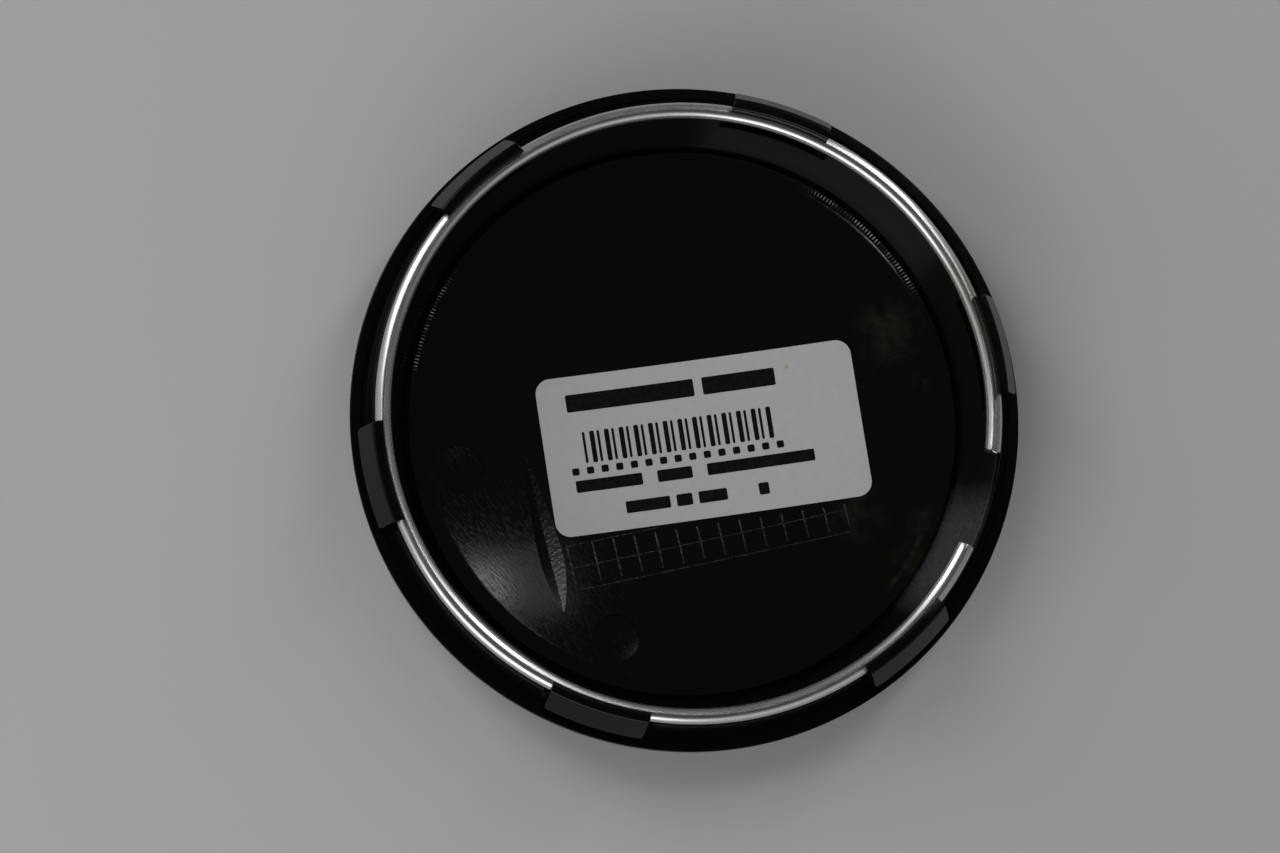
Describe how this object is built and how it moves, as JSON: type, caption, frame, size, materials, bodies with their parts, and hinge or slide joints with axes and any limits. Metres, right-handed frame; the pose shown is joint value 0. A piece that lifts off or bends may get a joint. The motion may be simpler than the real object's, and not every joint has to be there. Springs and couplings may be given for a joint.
{
  "type": "wheel centre cap",
  "caption": "Round snap-in wheel centre cap in black plastic, with hooked snap arms, a split wire ring behind them and a paper label in its dished back.",
  "frame": {"origin": "centre of the flat in the middle of the front, on the axis", "axes": "+Z along the axis, out of the back of the cap; +X through the middle of one snap arm"},
  "size_m": [0.083, 0.083, 0.0143],
  "materials": {
    "black_plastic": "moulded, satin inside and glossy on the front",
    "ring_wire": "drawn wire, zinc plated",
    "label_paper": "coated paper sticker"
  },
  "bodies": {
    "root": {"cap_body": "black_plastic", "retaining_ring": "ring_wire", "label": "label_paper"}
  },
  "joints": []
}
